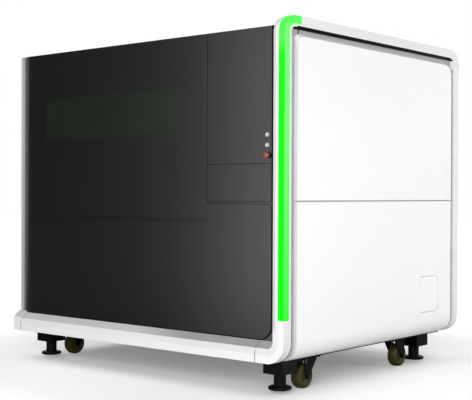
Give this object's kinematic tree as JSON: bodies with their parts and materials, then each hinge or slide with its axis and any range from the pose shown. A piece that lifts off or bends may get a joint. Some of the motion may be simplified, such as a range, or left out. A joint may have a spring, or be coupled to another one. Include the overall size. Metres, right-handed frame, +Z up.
{
  "type": "fiber laser cutting machine",
  "caption": "Enclosed sheet metal cutter with a lift-up door, slat table, gantry with a cutting head, keyboard drawer, wrap-round white frame with a light strip, casters and levelling feet.",
  "frame": {"origin": "on the floor, under the middle of the overall width and depth", "axes": "+X to the right of the front, +Y to the rear, +Z up"},
  "size_m": [1.98, 1.66, 1.786],
  "materials": {
    "white_coat": "fine textured powder coat, satin",
    "frame_coat": "fine textured powder coat, satin",
    "grey_coat": "powder coat, satin",
    "black_coat": "fine textured powder coat, satin",
    "galvanised": "galvanised sheet, spangled",
    "bed_paint": "machine paint, eggshell",
    "anodised": "bead blasted and anodised",
    "ground_steel": "ground",
    "mild_steel": "hot rolled, scorched along the top",
    "laser_glass": "dark green filter pane",
    "light_diffuser": "frosted, lit from inside",
    "button_metal": "satin",
    "red_plastic": "moulded",
    "black_plastic": "moulded",
    "black_iron": "black paint",
    "tread": "cast polyurethane, dark olive",
    "copper": "turned copper"
  },
  "bodies": {
    "machine": {"left_shell": "white_coat", "rear_panel": "white_coat", "roof_panel": "white_coat", "side_panel_upper": "white_coat", "side_panel_lower": "white_coat", "bottom_lips": "frame_coat", "lip_end_caps": "frame_coat", "frame_bottom_corners": "frame_coat", "frame_posts": "frame_coat", "frame_top_corners": "frame_coat", "frame_top_rail": "frame_coat", "side_wall": "grey_coat", "front_fascia": "black_coat", "control_panel": "black_coat", "lower_panel": "black_coat", "left_liner": "galvanised", "partition": "galvanised", "drawer_housing": "galvanised", "scrap_tray": "galvanised", "exhaust_spigot": "galvanised", "chassis": "bed_paint", "bed_cheeks": "bed_paint", "laser_source": "bed_paint", "electrical_cabinet": "bed_paint", "guide_rails": "ground_steel", "door_hinges": "ground_steel", "hatch_pin": "ground_steel", "slats": "mild_steel", "slat_combs": "mild_steel", "light_strip": "light_diffuser", "button_collars": "button_metal", "estop_collar": "black_plastic", "cable_gland": "black_plastic", "foot_blocks": "black_iron", "caster_forks": "black_iron"},
    "door": {"door_panel": "black_coat", "door_window": "laser_glass"},
    "drawer": {"drawer_front": "black_coat", "drawer_tray": "galvanised", "keyboard": "black_plastic"},
    "hatch": {"side_hatch": "white_coat"},
    "gantry": {"gantry_beam": "anodised", "gantry_rails": "ground_steel"},
    "carriage": {"carriage": "anodised"},
    "head": {"cutting_head": "anodised", "nozzle": "copper"},
    "button_upper": {"push_button_upper": "button_metal"},
    "button_lower": {"push_button_lower": "button_metal"},
    "stop_stem": {"estop_stem": "black_plastic"},
    "stop_head": {"estop_head": "red_plastic"},
    "foot_front_left": {"levelling_foot_front_left": "black_iron"},
    "wheel_front_left": {"caster_wheel_front_left": "tread"},
    "foot_front_right": {"levelling_foot_front_right": "black_iron"},
    "wheel_front_right": {"caster_wheel_front_right": "tread"},
    "foot_rear_left": {"levelling_foot_rear_left": "black_iron"},
    "wheel_rear_left": {"caster_wheel_rear_left": "tread"},
    "foot_rear_right": {"levelling_foot_rear_right": "black_iron"},
    "wheel_rear_right": {"caster_wheel_rear_right": "tread"}
  },
  "joints": [
    {"name": "door_lift", "type": "hinge", "parent": "machine", "child": "door", "pos_m": [0, -0.75, 1.7358], "axis": [-1, 0, 0], "range_deg": [0, 85]},
    {"name": "drawer_slide", "type": "slide", "parent": "machine", "child": "drawer", "axis": [0, -1, 0], "range_m": [0, 0.28]},
    {"name": "hatch_swing", "type": "hinge", "parent": "machine", "child": "hatch", "pos_m": [0.9855, 0.588, 0.4035], "axis": [0, 0, 1], "range_deg": [0, 85]},
    {"name": "gantry_travel", "type": "slide", "parent": "machine", "child": "gantry", "axis": [0, 1, 0], "range_m": [-1, 0.08]},
    {"name": "carriage_travel", "type": "slide", "parent": "gantry", "child": "carriage", "axis": [1, 0, 0], "range_m": [-0.45, 0.45]},
    {"name": "head_lift", "type": "slide", "parent": "carriage", "child": "head", "axis": [0, 0, 1], "range_m": [-0.055, 0.04]},
    {"name": "button_upper_press", "type": "slide", "parent": "machine", "child": "button_upper", "axis": [0, 1, 0], "range_m": [0, 0.0025], "stiffness_N_per_m": 800, "springref_m": -0.002},
    {"name": "button_lower_press", "type": "slide", "parent": "machine", "child": "button_lower", "axis": [0, 1, 0], "range_m": [0, 0.0025], "stiffness_N_per_m": 800, "springref_m": -0.002},
    {"name": "stop_press", "type": "slide", "parent": "machine", "child": "stop_stem", "axis": [0, 1, 0], "range_m": [0, 0.004], "stiffness_N_per_m": 2000, "springref_m": -0.002},
    {"name": "stop_twist", "type": "hinge", "parent": "stop_stem", "child": "stop_head", "pos_m": [0.857, -0.801, 1.137], "axis": [0, 1, 0], "range_deg": [0, 45], "stiffness_Nm_per_rad": 0.05, "springref_deg": -5.73},
    {"name": "foot_screw_front_left", "type": "slide", "parent": "machine", "child": "foot_front_left", "axis": [0, 0, -1], "range_m": [0, 0.03]},
    {"name": "foot_screw_front_right", "type": "slide", "parent": "machine", "child": "foot_front_right", "axis": [0, 0, -1], "range_m": [0, 0.03]},
    {"name": "foot_screw_rear_left", "type": "slide", "parent": "machine", "child": "foot_rear_left", "axis": [0, 0, -1], "range_m": [0, 0.03]},
    {"name": "foot_screw_rear_right", "type": "slide", "parent": "machine", "child": "foot_rear_right", "axis": [0, 0, -1], "range_m": [0, 0.03]},
    {"name": "wheel_roll_front_left", "type": "hinge", "parent": "machine", "child": "wheel_front_left", "pos_m": [-0.836, -0.497, 0.0625], "axis": [1, 0, 0], "continuous": true},
    {"name": "wheel_roll_front_right", "type": "hinge", "parent": "machine", "child": "wheel_front_right", "pos_m": [0.848, -0.497, 0.0625], "axis": [1, 0, 0], "continuous": true},
    {"name": "wheel_roll_rear_left", "type": "hinge", "parent": "machine", "child": "wheel_rear_left", "pos_m": [-0.836, 0.392, 0.0625], "axis": [1, 0, 0], "continuous": true},
    {"name": "wheel_roll_rear_right", "type": "hinge", "parent": "machine", "child": "wheel_rear_right", "pos_m": [0.848, 0.392, 0.0625], "axis": [1, 0, 0], "continuous": true}
  ]
}
